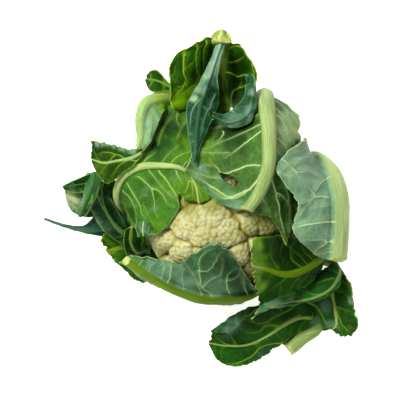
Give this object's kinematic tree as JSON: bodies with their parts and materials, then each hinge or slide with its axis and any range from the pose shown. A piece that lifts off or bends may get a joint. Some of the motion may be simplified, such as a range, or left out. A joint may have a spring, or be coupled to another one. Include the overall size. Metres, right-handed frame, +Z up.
{
  "type": "cauliflower",
  "caption": "Trimmed cauliflower head with cream florets in loosely wrapped green leaves, standing on its cut stalk.",
  "frame": {"origin": "middle of the stalk's knife cut, on the surface that the head stands on", "axes": "+Z up along the stalk; -Y is the side towards the lower edge of the picture, +X the side towards its right edge"},
  "size_m": [0.3171, 0.3395, 0.1436],
  "materials": {
    "stalk": "cut stalk, pale and fibrous",
    "curd": "matte cream florets",
    "leaf_pale": "back of a leaf, waxy bloom",
    "leaf_teal": "back of a leaf, blue-green",
    "leaf_mid": "mid green leaf, satin",
    "leaf_dark": "upper face of a leaf, dark green satin"
  },
  "bodies": {
    "root": {"stalk": "stalk", "curd": "curd", "leaf_over_top": "leaf_pale", "leaf_right": "leaf_pale", "leaf_upper_left": "leaf_pale", "leaf_front": "leaf_teal", "leaf_far_left": "leaf_teal", "leaf_wisp": "leaf_teal", "leaf_left_inner": "leaf_teal", "leaf_over_left": "leaf_mid", "leaf_right_inner": "leaf_dark", "leaf_right_under": "leaf_dark", "leaf_front_right": "leaf_dark", "leaf_back": "leaf_dark", "leaf_left_low": "leaf_dark", "leaf_left_curd": "leaf_dark"}
  },
  "joints": []
}
